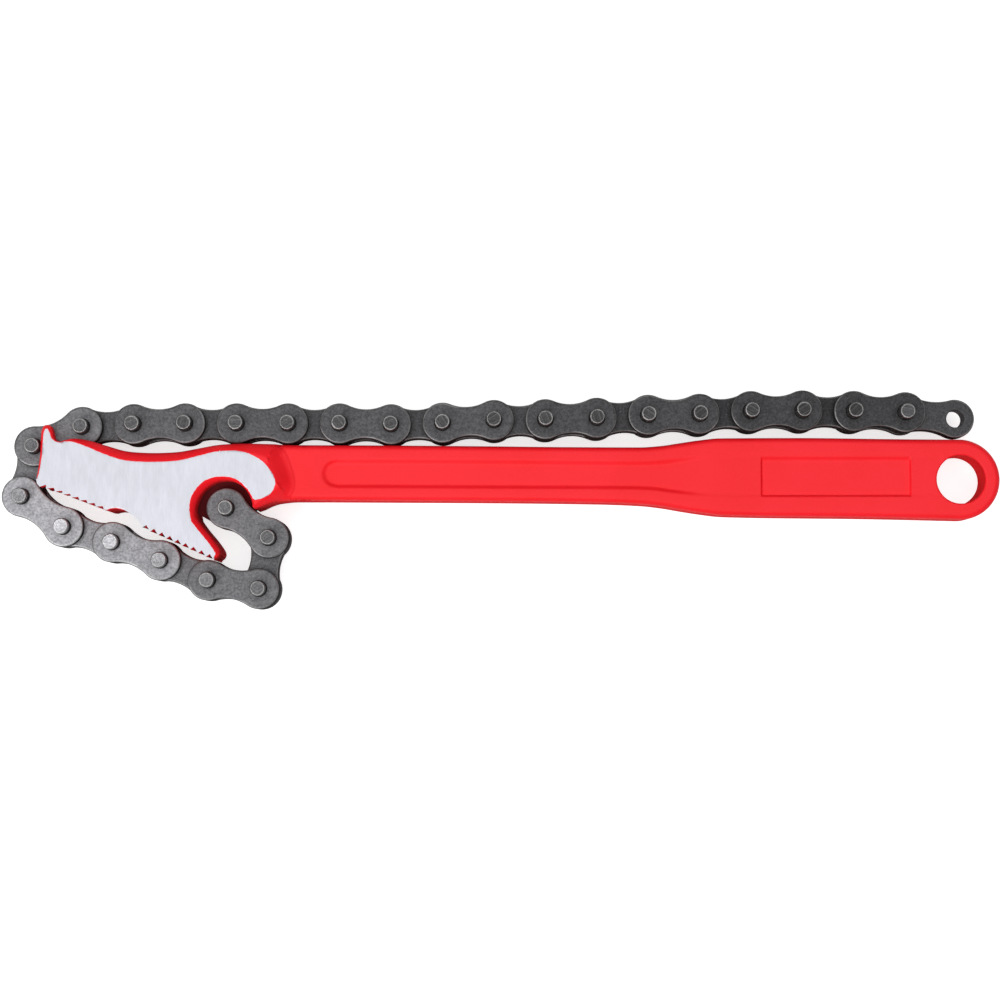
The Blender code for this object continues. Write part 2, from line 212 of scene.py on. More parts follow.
def probe(points, outline):
    """Distance to a closed outline, its two edge sizes at the nearest place, and whether each point is inside."""
    start, end = outline, np.roll(outline, -1, axis=0)
    span = end[:, :2] - start[:, :2]
    length = np.maximum((span**2).sum(1), 1e-12)
    found = []
    for part in np.array_split(points, max(1, len(points) // PROBED_AT_ONCE)):
        off = part[:, None] - start[None, :, :2]
        share = np.clip((off * span).sum(2) / length, 0, 1)
        gap = ((off - share[..., None] * span)**2).sum(2)
        near = gap.argmin(1)
        rows = np.arange(len(part))
        at = share[rows, near][:, None]
        sizes = start[near, 2:] * (1 - at) + end[near, 2:] * at
        above = (start[:, 1] > part[:, 1:]) != (end[:, 1] > part[:, 1:])
        rise = np.where(np.abs(span[:, 1]) < 1e-12, 1e-12, span[:, 1])
        left = part[:, :1] < start[:, 0] + (part[:, 1:] - start[:, 1]) / rise * span[:, 0]
        inside = (above & left).sum(1) % 2 == 1
        found.append(np.column_stack([np.sqrt(gap[rows, near]), sizes, inside]))
    distance, width, depth, inside = np.vstack(found).T
    return distance, width, depth, inside > 0.5


def net(boundary, inner=(), holes=()):
    """Constrained Delaunay triangles that fill a boundary, less its holes, and use each inner point."""
    loops, at = [], 0
    for ring in (boundary, *holes):
        loops.append(list(range(at, at + len(ring))))
        at += len(ring)
    rows = np.vstack([ring for ring in (boundary, *holes, inner) if len(ring)])
    made = delaunay_2d_cdt([Vector(p) for p in rows], [], loops, 2, 1e-6)
    points = np.array([p[:] for p in made[0]])
    if len(points) < len(rows) or np.abs(points[:at] - rows[:at]).max() > 1e-4:
        raise RuntimeError("the net lost a boundary point")
    points[:at] = rows[:at]
    return points, np.array(made[2])


def grid_faces(rows, columns, closed=False):
    """Quads between neighbouring rows of a grid of points, whose columns may close on themselves."""
    index = np.arange(rows * columns).reshape(rows, columns)
    after = np.roll(index, -1, axis=1) if closed else index[:, 1:]
    index = index if closed else index[:, :-1]
    return np.stack([index[:-1], after[:-1], after[1:], index[1:]], -1).reshape(-1, 4)


def put(name, data):
    """A new object in the scene."""
    thing = bpy.data.objects.new(name, data)
    bpy.context.collection.objects.link(thing)
    return thing


class Shell:
    """Gathers the surfaces of one piece, each with values for the piece's attributes, and welds them."""

    def __init__(self, name, *attributes):
        self.name, self.attributes = name, attributes
        self.points, self.faces, self.values, self.count = [], [], [], 0

    def add(self, points, faces, *values, flip=False):
        faces = np.asarray(faces) + self.count
        self.faces += (faces[:, ::-1] if flip else faces).tolist()
        self.points.append(points)
        self.values.append([np.broadcast_to(v, len(points)) for v in values])
        self.count += len(points)

    def grid(self, points, *values, closed=False, flip=False):
        """points has a row, a column and x, y, z."""
        faces = grid_faces(*points.shape[:2], closed)
        flat = [np.broadcast_to(v, points.shape[:2]).ravel() for v in values]
        self.add(points.reshape(-1, 3), faces, *flat, flip=flip)

    def finish(self, material, sharp=38.0, weld=2e-6):
        """Welds the points, turns the faces outwards, and keeps edges crisp above an angle in degrees."""
        points = np.vstack(self.points)
        mesh = bpy.data.meshes.new(self.name)
        mesh.from_pydata((points - [*PLAN_CENTRE, 0]) * MM, [], self.faces)
        for k, attribute in enumerate(self.attributes):
            layer = mesh.attributes.new(attribute, "FLOAT", "POINT")
            layer.data.foreach_set("value", np.concatenate([v[k] for v in self.values]).astype(np.float32))
        bm = bmesh.new()
        bm.from_mesh(mesh)
        bmesh.ops.remove_doubles(bm, verts=bm.verts, dist=weld)
        bmesh.ops.recalc_face_normals(bm, faces=bm.faces)
        open_edges = sum(not edge.is_manifold for edge in bm.edges)
        if open_edges:
            print(f"{self.name} has {open_edges} open edges")
        bm.to_mesh(mesh)
        bm.free()
        mesh.shade_smooth()
        mesh.set_sharp_from_angle(angle=math.radians(sharp))
        mesh.materials.append(material)
        return put(self.name, mesh)


# Outlines of the forging, counter-clockwise, each row (x, y, edge width, edge depth)

TOOTH_PITCH = 2.67
FRONT_ROW = ((-140.1, 4.9), -20.5, 8, 0.30, 0.9)  # start, heading, number of teeth, crest's share, depth
REAR_ROW = ((-109.2, -7.4), -24.3, 9, 0.72, 1.25)
TEETH_SPAN, DIMPLE_SPAN = (-141.3, -80.0), (-114.5, -109.0)  # the x between which walls can be ground
HOOK_RADIUS, HOOK_FLARE = 8.4, 0.9  # radius of the hook's wall about the anchor pin, and its growth at the finger


def teeth(start, heading, count, share, depth):
    """A saw row: notches at half pitches along the heading, and crests a share of the pitch behind them."""
    angle = math.radians(heading)
    along, out = np.array([math.cos(angle), math.sin(angle)]), np.array([math.sin(angle), -math.cos(angle)])
    roots = np.array(start) + np.outer(TOOTH_PITCH * (np.arange(count) + 0.5), along)
    crests = roots + TOOTH_PITCH * share * along + depth * out
    return edged(np.stack([roots, crests], 1).reshape(-1, 2), 0, 0)


def jaw_parts():
    """The head's outline from its top edge round the nose, teeth and hook to the heel, and then the shoulder."""
    top = curve_through(
        [(-69.0, 17.2, 5.2, 4.0), (-78.0, 17.3, 3.0, 3.0), (-86.0, 16.9, 2.2, 2.5), (-92.5, 15.8, 2.5, 2.7),
         (-99.0, 14.7, 2.9, 2.9), (-107.0, 14.4, 3.0, 2.9), (-114.5, 14.9, 3.0, 2.9), (-120.5, 16.5, 2.7, 2.7),
         (-125.9, 18.1, 2.1, 2.3), (-130.5, 18.7, 1.2, 1.4), (-133.4, 18.1, 0.4, 0.5)])
    seat = curve_through([(-134.7, 17.6, 0.3, 0.3), (-135.9, 17.9, 0.3, 0.3), (-136.7, 19.0, 0.7, 0.8)])
    nose = curve_through(
        [(-137.2, 21.2, 0.9, 1.2), (-137.8, 22.5, 1.3, 1.4), (-138.9, 22.95, 1.5, 1.5), (-140.0, 22.5, 1.3, 1.4),
         (-140.6, 20.8, 1.0, 1.2), (-140.75, 17.5, 0.8, 1.0)])
    side = np.vstack([curve_through([(-140.85, 13.5, 0.7, 0.9), (-141.3, 9.5, 0.6, 0.8), (-141.75, 6.4, 0.3, 0.4)]),
                      edged([(-141.8, 6.2), (-141.55, 4.8), (-140.65, 3.8)], 0, 0)])
    dimple = curve_through(
        [(-119.9, -3.3, 0.1, 0.1), (-118.6, -2.95, 0.15, 0.2), (-117.2, -2.9, 0.2, 0.3), (-115.0, -3.3, 0.1, 0.2),
         (-113.4, -4.1, 0, 0), (-111.6, -5.4, 0, 0), (-110.2, -6.8, 0, 0), (-109.15, -8.6, 0, 0)])
    finger = curve_through(
        [(-86.95, -18.1, 0.6, 0.8), (-86.05, -17.4, 1.0, 1.3), (-85.6, -16.3, 1.4, 1.8), (-86.1, -14.8, 1.5, 2.0),
         (-88.1, -12.0, 1.5, 2.0), (-90.7, -8.9, 1.5, 2.0), (-92.85, -6.0, 1.6, 2.0)])
    first, last, flare_from, spans = 186, 21, 120, 70  # degrees about the anchor pin
    degrees = np.linspace(first, last, spans + 1)
    flare = np.maximum(0, (degrees - flare_from) / (first - flare_from))**2
    wall = arc(ANCHOR, HOOK_RADIUS + HOOK_FLARE * flare, first, last, spans)
    width = np.interp(degrees, [21, 50, 93, 130, 165, 186], [0.5, 0.55, 1.05, 1.9, 1.95, 1.55])
    hook = np.vstack([np.column_stack([wall, width, 1.3 * width]),
                      edged(arc(ANCHOR, HOOK_RADIUS, 10, 2, 4), 0.8, 1.1)])
    heel = curve_through([(-75.2, -2.8, 1.0, 1.2), (-73.3, -2.2, 1.6, 1.8), (-71.2, -1.3, 2.2, 3.0),
                          (-68.9, -0.6, 2.9, 4.0)])
    shoulder = curve_through(
        [(-65.0, 0.6, 5.0, 4.2), (-63.4, 3.2, 5.4, 4.2), (-63.3, 6.6, 5.6, 4.2), (-64.6, 11.0, 6.3, 4.2),
         (-66.2, 14.8, 6.5, 4.2)])
    free = np.vstack([top, seat, nose, side, teeth(*FRONT_ROW), dimple, teeth(*REAR_ROW), finger, hook, heel])
    return free, shoulder


# Right-hand border of the ground steel, from the top of the head down to the hook
STEEL_BORDER = curve_through(
    [(-85.6, 14.7), (-82.6, 14.9), (-79.5, 14.7), (-76.5, 13.8), (-72.8, 11.7), (-70.3, 8.9), (-68.8, 5.9),
     (-69.0, 3.7), (-70.3, 1.6), (-72.7, 0.3), (-75.1, -0.3)])
STEEL_BORDER_FROM = (-86, -11)  # it holds where x and y are above these
# Its border round the hook: degrees about the anchor pin, and radii
HOOK_BORDER = ((-20, 0, 32, 50, 70, 93, 112), (10.2, 9.2, 8.85, 8.95, 9.3, 9.45, 9.8))

HANG_HOLE = np.array([141.85, 6.4])
END_CENTRE, END_RADIUS = np.array([141.6, 6.4]), 12.4
UNDERSIDE = line_through(
    [(-68.9, -0.6), (-62.4, -0.1), (-37.4, -0.2), (0.0, -0.4), (31.2, -0.8), (43.7, -1.3), (50.0, -2.0),
     (56.5, -3.1), (62.4, -4.0), (68.6, -4.7), (81.1, -5.0), (110.0, -5.3), (140.0, -5.9)])
UPPER_SIDE = line_through(
    [(-69.0, 17.2), (-62.0, 17.1), (-37.0, 17.0), (0.0, 16.7), (18.5, 16.5), (43.2, 16.4), (49.3, 16.8),
     (55.5, 17.7), (61.7, 18.6), (67.9, 19.2), (92.5, 19.3), (117.2, 19.0), (140.0, 18.75)])
NECK_LEFT, GRIP_RIGHT = -58.0, 128.0  # the grid of stations runs between these; nets fill the two ends
LABEL_FIELD = (80.5, 126.3, 1.3, 12.3)  # low x, high x, low y, high y
LABEL_SLOPE, LABEL_FAR_SLOPE = (-0.35, 0.35), (-1.3, 0.2)  # from where to where a side of it falls

CHANNEL_LEFT = np.array([-50.45, 8.15, 4.0])  # centre and radius of the channel's round end
CHANNEL_LOWER = line_through(
    [(-60.0, 4.15), (-50.0, 4.15), (0.0, 3.95), (40.0, 3.75), (47.4, 3.45), (52.0, 2.8), (56.0, 2.3), (60.2, 1.8),
     (66.0, 1.3), (72.0, 1.1), (140.0, 0.9)])
CHANNEL_UPPER = line_through(
    [(-60.0, 12.2), (-50.0, 12.2), (0.0, 12.0), (30.0, 11.7), (43.0, 11.65), (48.0, 11.8), (52.1, 12.2),
     (57.0, 12.8), (61.4, 13.4), (67.7, 14.0), (76.0, 14.4), (140.0, 14.4)])
LOWER_SLOPE, UPPER_SLOPE = (-0.7, 0.8), (-0.8, 1.3)  # how far each channel slope reaches out and in
ROUND_SLOPE = (-0.6, 1.0)  # the same at the channel's round end
CHANNEL_END, CHANNEL_RUN_OUT = 136.5, 1.4
PANEL_SPAN = (50, 66)  # between these the channel becomes the grip's shallow panel


def stations():
    """Places along the handle: even steps of 0.57 mm, and closer ones at the ends of the label field."""
    count, near = 330, 0.9
    ends = [x + np.linspace(-near, near, 13) for x in LABEL_FIELD[:2]]
    steps = np.linspace(NECK_LEFT, GRIP_RIGHT, count)
    clear = np.min([np.abs(steps - x) for x in LABEL_FIELD[:2]], axis=0) > near + 0.1
    return np.unique(np.round(np.concatenate([steps[clear], *ends]), 5))


def side_rows(x, edge):
    """Heights in the plan of the grid's rows at each station, gathered at the edges and at the channel's slopes."""
    low = np.interp(x, *UNDERSIDE.T)
    high = np.interp(x, *UPPER_SIDE.T)
    lower, upper = np.interp(x, *CHANNEL_LOWER.T), np.interp(x, *CHANNEL_UPPER.T)
    across = edge * (1 - np.cos(np.linspace(0, np.pi / 2, 9)))
    stops = [low + a for a in across]
    stops += [low + edge + (lower + LOWER_SLOPE[0] - low - edge) * t for t in (0.35, 0.7)]
    stops += [lower + s for s in np.linspace(*LOWER_SLOPE, 7)]
    field_low, field_high = np.maximum(lower + 0.85, LABEL_FIELD[2] - 0.3), upper - UPPER_SLOPE[1] - 0.1
    stops += [field_low + (field_high - field_low) * t for t in np.linspace(0, 1, 25)]
    stops += [upper - s for s in np.linspace(UPPER_SLOPE[1], UPPER_SLOPE[0], 11)]
    top = high - edge
    base = upper - UPPER_SLOPE[0]
    stops += [base + (top - base) * t for t in (0.35, 0.7)]
    stops += [high - a for a in across[::-1]]
    return np.sort(np.array(stops), axis=0)


def forging_outlines(edge):
    """The jaw's own outline, the whole forging's outline, and the handle's, all with their edge sizes."""
    free, shoulder = jaw_parts()
    x = stations()
    low, high = np.interp(x, *UNDERSIDE.T), np.interp(x, *UPPER_SIDE.T)
    neck_low, neck_high = (line[(line[:, 0] > -68.5) & (line[:, 0] < NECK_LEFT - 0.2)]
                           for line in (UNDERSIDE, UPPER_SIDE))
    end = arc(END_CENTRE, END_RADIUS, -88, 88, 110)
    steps = np.linspace(GRIP_RIGHT, end[0, 0], 24)[1:-1]
    end_low = np.column_stack([steps, np.interp(steps, [GRIP_RIGHT, end[0, 0]], [low[-1], end[0, 1]])])
    end_high = np.column_stack([steps, np.interp(steps, [GRIP_RIGHT, end[-1, 0]], [high[-1], end[-1, 1]])])
    right = np.vstack([np.column_stack([x, low]), end_low, end, end_high[::-1], np.column_stack([x, high])[::-1]])
    handle = edged(np.vstack([neck_low, right, neck_high[::-1]]), edge, edge)
    whole = np.vstack([free, handle])
    inside_head = edged([(-79.0, 16.6), (-79.0, 4.6), (-74.0, 0.6)], edge, edge)
    return np.vstack([free, shoulder]), whole, np.vstack([handle, inside_head])


def filleted(head, handle):
    """The higher of two heights, and where they are nearly alike a parabola that joins them smoothly."""
    overlap = np.maximum(FILLET - np.abs(head - handle), 0) / FILLET
    return np.maximum(head, handle) + overlap**2 * FILLET / 4


class FrontFace:
    """The forging's front face as a height over the plan; its back is the same, turned over."""

    def __init__(self, sizes):
        self.sizes = sizes
        self.jaw, self.whole, self.handle = forging_outlines(sizes.edge)

    def channel(self, x, y):
        """Depth of the channel and panel: full between the two lines, and smooth slopes across each of them."""
        inside = smooth(y - np.interp(x, *CHANNEL_LOWER.T), *LOWER_SLOPE)
        inside *= smooth(np.interp(x, *CHANNEL_UPPER.T) - y, *UPPER_SLOPE)
        radius = np.hypot(x - CHANNEL_LEFT[0], y - CHANNEL_LEFT[1])
        inside = np.where(x < CHANNEL_LEFT[0], smooth(CHANNEL_LEFT[2] - radius, *ROUND_SLOPE), inside)
        inside *= smooth(CHANNEL_END - x, 0, CHANNEL_RUN_OUT)
        neck, grip = self.sizes.channel_depth, self.sizes.panel_depth
        return (neck + (grip - neck) * smooth(x, *PANEL_SPAN)) * inside

    def label(self, x, y):
        """Depth of the bare field: the product of one smooth step for each side."""
        left, right, near, far = LABEL_FIELD
        steps = smooth(x - left, *LABEL_SLOPE) * smooth(right - x, *LABEL_SLOPE)
        return self.sizes.label_depth * steps * smooth(y - near, *LABEL_SLOPE) * smooth(far - y, *LABEL_FAR_SLOPE)

    def border(self, points):
        """How far inside the ground steel a point at the hook or the shoulder lies; less than 0 outside it."""
        left = np.vstack([STEEL_BORDER, [(-110, -60), (-110, 60)]])
        distance, _, _, inside = probe(points, edged(left, 0, 0))
        x, y = (points - ANCHOR).T
        hook = np.hypot(x, y) - np.interp(np.degrees(np.arctan2(y, x)), *HOOK_BORDER)
        return np.minimum(np.where(inside, distance, -distance), hook)

    def height(self, points):
        """The higher of head and handle, with a fillet between; each drops by a quarter round at its own edge."""
        x, y = points.T
        distance, width, depth, inside = probe(points, self.handle)
        handle = NECK_TOP - self.channel(x, y) - self.label(x, y)
        handle -= depth * round_drop(np.clip(1 - distance / width, 0, 1))
        radius = np.hypot(x - HANG_HOLE[0], y - HANG_HOLE[1]) - self.sizes.hang_radius
        handle -= self.sizes.hang_rim * round_drop(np.clip(1 - radius / self.sizes.hang_rim, 0, 1))
        handle = np.where(inside, handle, NECK_TOP - depth - FALL * distance)
        head, bare = np.full(len(points), -100.0), np.full(len(points), PAINTED_FACE)
        near = x < NECK_LEFT + 1  # the head ends before this
        if near.any():
            distance, width, depth, inside = probe(points[near], self.jaw)
            share = np.clip(1 - distance / np.maximum(width, 1e-6), 0, 1)
            level = np.clip((depth - SHOULDER_DEPTH) / 0.2, 0, 1)  # 1 at the shoulder
            cut = 0.5 * share + 0.5 * round_drop(share)  # the ground plane meets the rounding at an angle
            ramp = 0.7 * share + 0.3 * smooth(share, 0, 1)
            drop = depth * (cut * (1 - level) + ramp * level)
            head[near] = np.where(inside, HEAD_TOP - drop, HEAD_TOP - depth - FALL * distance)
            margin = np.where(width < SHARP, distance + BARE_STEEL, distance - width)
            margin = np.where((points[near] > STEEL_BORDER_FROM).all(1), self.border(points[near]), margin)
            bare[near] = np.where(inside | (distance < 1e-3), margin, -distance - 0.5)
        return filleted(head, handle), np.maximum(bare, PAINTED_FACE)


def slot_floor():
    """The curved floor of the slot between the cheeks, from the top of the head round to behind the front teeth."""
    return curve_through([(-104.0, 15.6), (-109.0, 12.2), (-115.0, 10.2), (-121.5, 8.8), (-127.0, 6.8),
                          (-130.8, 3.0), (-132.6, -2.0)])


def crossings(outline, line):
    """Where an open line crosses a closed outline: the outline's span, the share of it, and the line's span."""
    a, b = outline[:, None, :2], (np.roll(outline, -1, axis=0) - outline)[:, None, :2]
    c, d = line[None, :-1], np.diff(line, axis=0)[None]
    cross = b[..., 0] * d[..., 1] - b[..., 1] * d[..., 0]
    cross = np.where(np.abs(cross) < 1e-12, 1e-12, cross)
    off = c - a
    t = (off[..., 0] * d[..., 1] - off[..., 1] * d[..., 0]) / cross
    u = (off[..., 0] * b[..., 1] - off[..., 1] * b[..., 0]) / cross
    spans, pieces = np.nonzero((t >= 0) & (t < 1) & (u >= 0) & (u < 1))
    return [(i, t[i, j], j) for i, j in zip(spans, pieces)]


def cut_by_slot(outline):
    """The outline with a point added at either end of the slot, both points' numbers, and the floor between."""
    floor = slot_floor()
    (first, share, j), (last, end_share, k) = crossings(outline, floor)
    after = np.roll(outline, -1, axis=0)
    entry = outline[first] * (1 - share) + after[first] * share
    leave = outline[last] * (1 - end_share) + after[last] * end_share
    whole = np.vstack([outline[:first + 1], entry, outline[first + 1:last + 1], leave, outline[last + 1:]])
    between = floor[min(j, k) + 1:max(j, k) + 1]
    return whole, first + 1, last + 2, np.vstack([entry[None, :2], between, leave[None, :2]])


def end_loops(whole, sizes):
    """The grip's end closed along the last station, the hole's rim point for point, and the count on the outline."""
    at_right = np.flatnonzero(np.isclose(whole[:, 0], GRIP_RIGHT))
    column = side_rows(stations(), sizes.edge)[1:-1, -1][::-1]
    outline = whole[at_right[0]:at_right[-1] + 1, :2]
    outer = np.vstack([outline, np.column_stack([np.full(len(column), GRIP_RIGHT), column])])
    angle = np.arctan2(outer[:, 1] - HANG_HOLE[1], outer[:, 0] - HANG_HOLE[0])
    hole = HANG_HOLE + sizes.hang_radius * np.column_stack([np.cos(angle), np.sin(angle)])
    return outer, hole, len(outline)


def face_patches(face, whole, sizes):
    """The front face in three patches: the grid of stations, the net of the head, and the rings of the end."""
    x = stations()
    y = side_rows(x, sizes.edge)
    y[0], y[-1] = np.interp(x, *UNDERSIDE.T), np.interp(x, *UPPER_SIDE.T)
    plan = np.stack([np.broadcast_to(x, y.shape), y], -1)
    z, bare = face.height(plan.reshape(-1, 2))
    z = z.reshape(y.shape)
    z[[0, -1]] = NECK_TOP - sizes.edge
    yield np.dstack([plan, z]), grid_faces(*y.shape), bare

    at_left = np.flatnonzero(np.isclose(whole[:, 0], NECK_LEFT))
    low, high = at_left[0], at_left[-1]
    loop = np.vstack([whole[high:], whole[:low + 1]])
    column = plan[1:-1, 0]
    boundary = np.vstack([loop[:, :2], column])
    points, faces = net(boundary, head_points(face, whole, sizes))
    z, bare = face.height(points)
    z[:len(loop)] = rim_heights(face, loop)
    z[len(loop):len(boundary)] = face.height(column)[0]
    yield np.column_stack([points, z]), faces, bare

    outer, hole, rim = end_loops(whole, sizes)
    t = (1 - np.cos(np.linspace(0, np.pi, 31))) / 2
    rings = hole[None] + (outer - hole)[None] * t[:, None, None]
    z, bare = face.height(rings.reshape(-1, 2))
    z = z.reshape(rings.shape[:2])
    z[0] = NECK_TOP - sizes.hang_rim
    z[-1, :rim] = NECK_TOP - sizes.edge
    yield np.dstack([rings, z]), grid_faces(*rings.shape[:2], closed=True)[:, ::-1], bare


def rim_heights(face, loop):
    """Heights of outline points, where a quarter round ends: the higher of the head's rim and the handle's."""
    distance, _, depth, _ = probe(loop[:, :2], face.jaw)
    head = np.where(distance < 1e-3, HEAD_TOP - depth, HEAD_TOP - depth - FALL * distance)
    far, _, edge, inside = probe(loop[:, :2], face.handle)
    handle = np.where(far < 1e-3, NECK_TOP - edge, np.where(inside, NECK_TOP, NECK_TOP - edge - FALL * far))
    return filleted(head, handle)


def head_points(face, whole, sizes):
    """Inner points of the head's net: rings across each rounding, and a lattice over the rest."""
    jaw = face.jaw
    into = inward(jaw[:, :2])
    rings = []
    for angle in np.radians([80, 70, 60, 50, 40, 30, 20, 10, 0]):
        rings.append(jaw[:, :2] + into * jaw[:, 2:3] * (1 - math.sin(angle)))
    rings.append(jaw[:, :2] + into * (jaw[:, 2:3] + 0.15))
    for reach in (0.25, 0.6, 1.0, 1.5, 2.2):
        rings.append(jaw[:, :2] - into * reach)
    lattice_x, lattice_y = np.meshgrid(np.arange(-142, NECK_LEFT, sizes.lattice), np.arange(-20, 24, sizes.lattice))
    edge = face.handle[face.handle[:, 0] < NECK_LEFT + 0.5]
    normal = np.where(edge[:, 1:2] > 8, [[0, -1.0]], [[0, 1.0]])
    for angle in np.radians([75, 60, 45, 30, 15, 0]):
        rings.append(edge[:, :2] + normal * sizes.edge * (1 - math.sin(angle)))
    points = np.vstack([*rings, np.column_stack([lattice_x.ravel(), lattice_y.ravel()])])
    distance, width, _, inside = probe(points, whole)
    clear, cell_size = 0.02, 0.12  # least way from the outline, and the square that keeps one point only
    keep = inside & (distance > clear + 0.012 * width) & (points[:, 0] < NECK_LEFT - 0.15)
    points = points[keep]
    cell = np.round(points / cell_size).astype(int)
    _, first = np.unique(cell, axis=0, return_index=True)
    return points[np.sort(first)]


def forging(sizes, material):
    """The handle forging: front face, the same face turned over, side walls, slot, and the hang hole's wall."""
    face = FrontFace(sizes)
    whole, entry, leave, floor = cut_by_slot(face.whole)
    shell = Shell("forging", "bare")
    for points, faces, bare in face_patches(face, whole, sizes):
        points = points.reshape(-1, 3)
        shell.add(points, faces, bare)
        shell.add(points * [1, 1, -1] + [0, 0, HEAD_TOP], faces, bare, flip=True)

    top = rim_heights(face, whole)
    top[whole[:, 0] > NECK_LEFT - 0.01] = NECK_TOP - sizes.edge
    low = HEAD_TOP - top
    least_wall = 0.8  # of a cheek, where the slot opens at a deep rounding
    low_cheek = np.maximum(HEAD_TOP - CHEEK_INNER, low + least_wall)
    levels = [low, low_cheek, HEAD_TOP - low_cheek, top]
    wall = np.stack([raised(whole[:, :2], z) for z in levels])
    x = whole[:, 0]
    teeth_here, dimple_here = ((x > first) & (x < last) for first, last in (TEETH_SPAN, DIMPLE_SPAN))
    ground = (whole[:, 2] < SHARP) & teeth_here
    # the walls' value makes the finish paint them darker, as shade
    rim = np.where(ground, BARE_STEEL, PAINTED)
    middle = np.where(ground & dimple_here, BARE_STEEL, PAINTED)
    bare = np.stack([rim, middle, middle, rim])  # a rim of steel keeps the walls' red off the face
    for level in range(3):
        pair, value = wall[level:level + 2], bare[level:level + 2]
        if level == 1:  # between the cheeks, where the slot is open
            kept = len(whole) - (leave - entry) + 1
            shell.grid(np.roll(pair, -leave, axis=1)[:, :kept], np.roll(value, -leave, axis=1)[:, :kept])
        else:
            shell.grid(pair, value, closed=True)

    inner_loop = np.vstack([whole[entry:leave + 1, :2], floor[1:-1][::-1]])
    points, faces = net(inner_loop)
    for z, flip in ((CHEEK_INNER, True), (HEAD_TOP - CHEEK_INNER, False)):
        shell.add(raised(points, z), faces, PAINTED, flip=flip)
    shell.grid(np.stack([raised(floor, z) for z in (HEAD_TOP - CHEEK_INNER, CHEEK_INNER)]), PAINTED)

    _, hole, _ = end_loops(whole, sizes)
    heights = np.linspace(HEAD_TOP - NECK_TOP + sizes.hang_rim, NECK_TOP - sizes.hang_rim, 5)
    shell.grid(np.stack([raised(hole, z) for z in heights]), PAINTED, closed=True)
    return shell.finish(material)


def tongue(chain, material):
    """The anchor's tongue: it spans the hook, and its free side is the eye round the pin and two tangents of it."""
    eye, reach, first, last = 5.9, 10.6, 8, 184  # two radii, and the degrees where its side in the hook ends
    spread = math.degrees(math.acos(eye / reach))
    outline = np.vstack([arc(ANCHOR, reach, first, last, 40),
                         arc(ANCHOR, eye, last + spread, first + 360 - spread, 20)])
    hole = arc(ANCHOR, chain.running_hole, 0, 360, 32)[:-1]
    half = chain.thickness + chain.gap / 2
    shell = Shell("anchor_tongue", "bare")
    points, faces = net(outline, holes=[hole])
    # the tongue's value makes the finish paint it nearly black, as deep shade
    for z, flip in ((MIDDLE - half, True), (MIDDLE + half, False)):
        shell.add(raised(points, z), faces, TONGUE_SHADE, flip=flip)
    for loop in (outline, hole):
        shell.grid(np.stack([raised(loop, z) for z in (MIDDLE - half, MIDDLE + half)]), TONGUE_SHADE, closed=True)
    return shell.finish(material)


UNRUBBED = 3.0  # value of the attribute "rim" in a plate's hole, far from any edge that is rubbed bright
# a pin's side with this value is painted black, as shade
PIN_SIDE = 9.0  # the same on a pin's side
PIN_RINGS = (3.9, 4.3, 10.0, 15.7, 16.1)  # heights of the rings along it


def plate_outline(pitch, chain, radius):
    """Figure of eight: two end circles joined by arcs that touch both, so the waist has no corner."""
    half = pitch / 2
    rise = radius - chain.waist_half
    hollow = (half**2 + chain.waist_half**2 - radius**2) / (2 * rise)
    centre_y = chain.waist_half + hollow
    tangent = math.degrees(math.atan2(centre_y, half))
    waist = chain.spans // 2
    right = arc((pitch, 0), radius, tangent - 180, 180 - tangent, 2 * chain.spans)
    left = arc((0, 0), radius, tangent, 360 - tangent, 2 * chain.spans)
    upper = arc((half, centre_y), hollow, -tangent, tangent - 180, waist)[1:-1]
    lower = arc((half, -centre_y), hollow, 180 - tangent, tangent, waist)[1:-1]
    return np.vstack([right, upper, left, lower])


def plate_surfaces(shell, outline, low, high, radii, rounds, place, tone_and_light):
    """A flat plate: two faces with holes, and an edge whose profile is two quarter rounds and a straight wall.

    Its rim attribute is the way in from the outline less the way down from the face, so the wall's is below 0.
    """
    into = inward(outline)
    pitch = outline[:, 0].min() + outline[:, 0].max()
    angles = np.linspace(0, np.pi / 2, 6)
    profile = [(rounds[0] * (1 - math.sin(a)), low + rounds[0] * (1 - math.cos(a))) for a in angles]
    profile += [(rounds[1] * (1 - math.sin(a)), high - rounds[1] * (1 - math.cos(a))) for a in angles[::-1]]
    edge = np.stack([raised(outline + into * inset, z) for inset, z in profile])
    rim = [[inset - min(z - low, high - z)] for inset, z in profile]
    shell.grid(place(edge), rim, tone_and_light, closed=True)
    lip, clear = 0.18, 0.3  # bevel of the holes' mouths, and the least way from them to an inner point
    loops = [arc((x, 0), radius + lip, 0, 360, 32)[:-1] for x, radius in zip((0, pitch), radii)]
    for z, flip, inset in ((low, True, rounds[0]), (high, False, rounds[1])):
        border = outline + into * inset
        inner = np.vstack([outline + into * (inset + reach) for reach in (0.25, 0.6, 1.1, 1.8, 2.6)])
        away = np.min([np.hypot(inner[:, 0] - x, inner[:, 1]) - r for x, r in zip((0, pitch), radii)], axis=0)
        reach = probe(inner, edged(outline, 0, 0))[0]
        inner = inner[(away > lip + clear) & (reach > inset + 0.2)]
        points, faces = net(border, inner, loops)
        reach = probe(points, edged(outline, 0, 0))[0]
        shell.add(place(raised(points, z)), faces, reach, tone_and_light, flip=flip)
    for (x, radius), loop in zip(zip((0, pitch), radii), loops):
        bore = arc((x, 0), radius, 0, 360, 32)[:-1]
        rows = [(loop, low), (bore, low + lip), (bore, high - lip), (loop, high)]
        shell.grid(place(np.stack([raised(ring, z) for ring, z in rows])), UNRUBBED, tone_and_light, closed=True)


